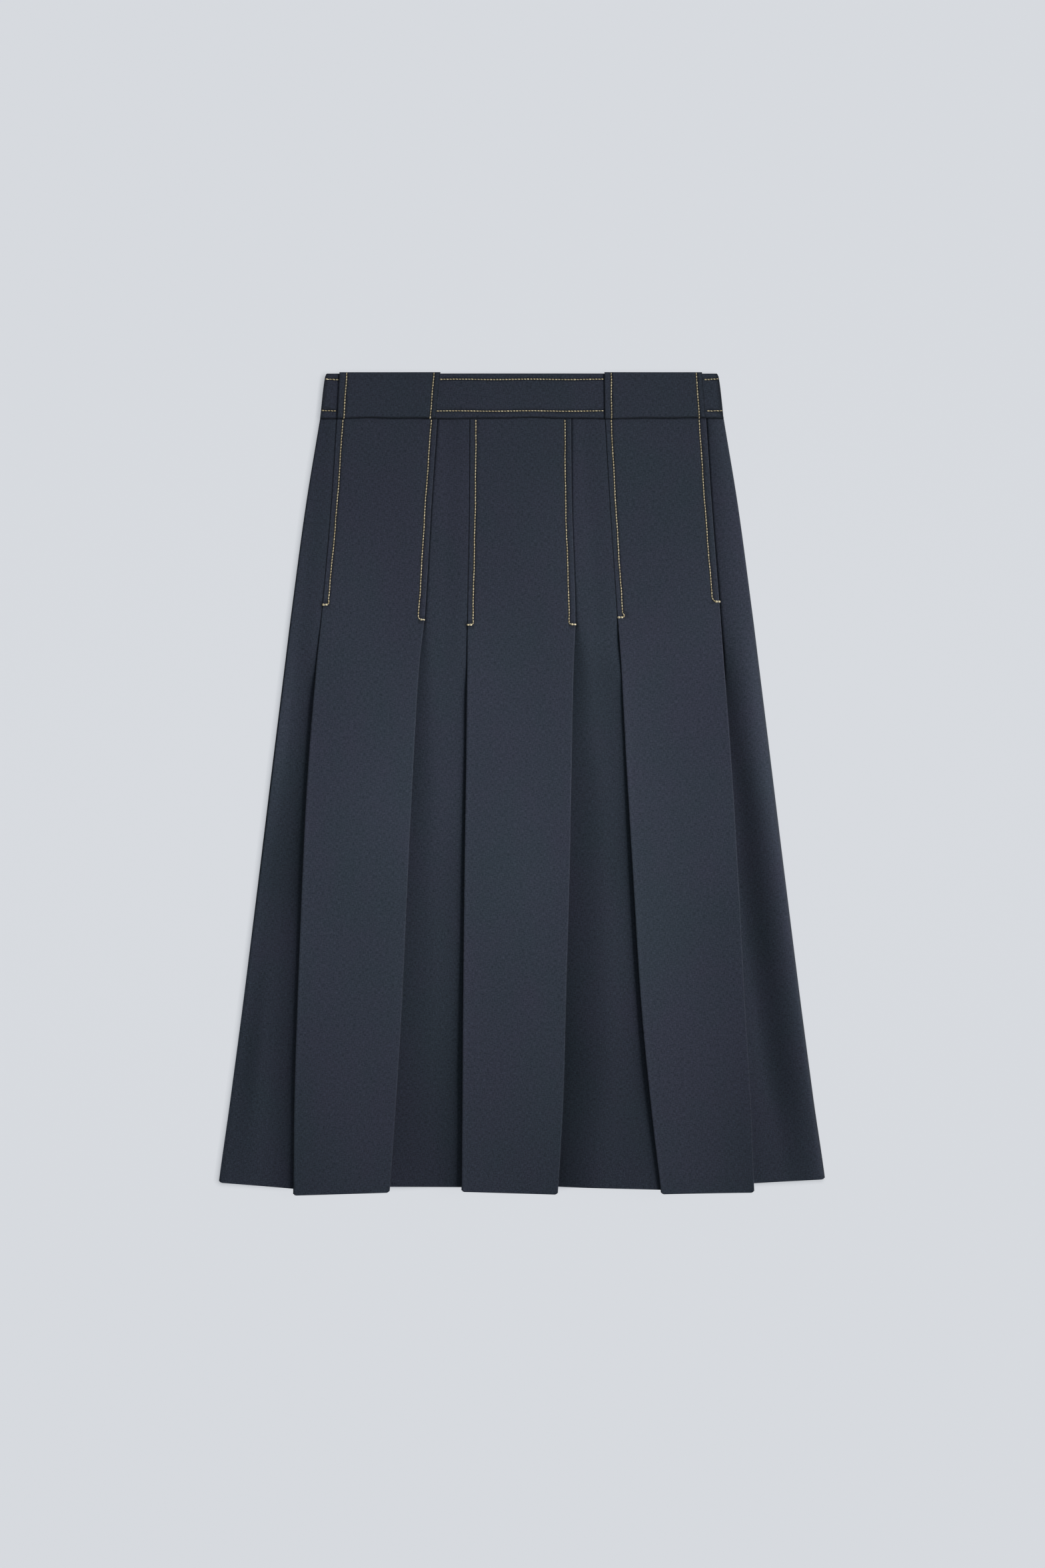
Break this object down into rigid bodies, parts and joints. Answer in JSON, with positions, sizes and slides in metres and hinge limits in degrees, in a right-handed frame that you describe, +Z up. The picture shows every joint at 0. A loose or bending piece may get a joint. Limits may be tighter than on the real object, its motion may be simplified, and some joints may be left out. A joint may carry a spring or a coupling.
{
  "type": "pleated midi skirt laid flat",
  "caption": "Flared dark wool skirt laid flat, with topstitched box pleats released at hip height and wide straps over a fitted waistband.",
  "frame": {"origin": "on the surface the skirt lies on, under the middle of its bounding box", "axes": "+Y from hem to waist, +Z up out of the front cloth, +X to the right as seen from above with the waist at the top"},
  "size_m": [0.591, 0.8021, 0.0149],
  "materials": {
    "wool": "matte fine-woven wool, dark grey-blue, topstitched in gold-tan thread",
    "zip_tape": "matte woven polyester tape"
  },
  "bodies": {
    "root": {"front_skirt": "wool", "back_left": "wool", "back_right": "wool", "waistband_front": "wool", "waistband_back_left": "wool", "waistband_back_right": "wool", "strap_left": "wool", "strap_right": "wool", "back_zip": "zip_tape"}
  },
  "joints": []
}
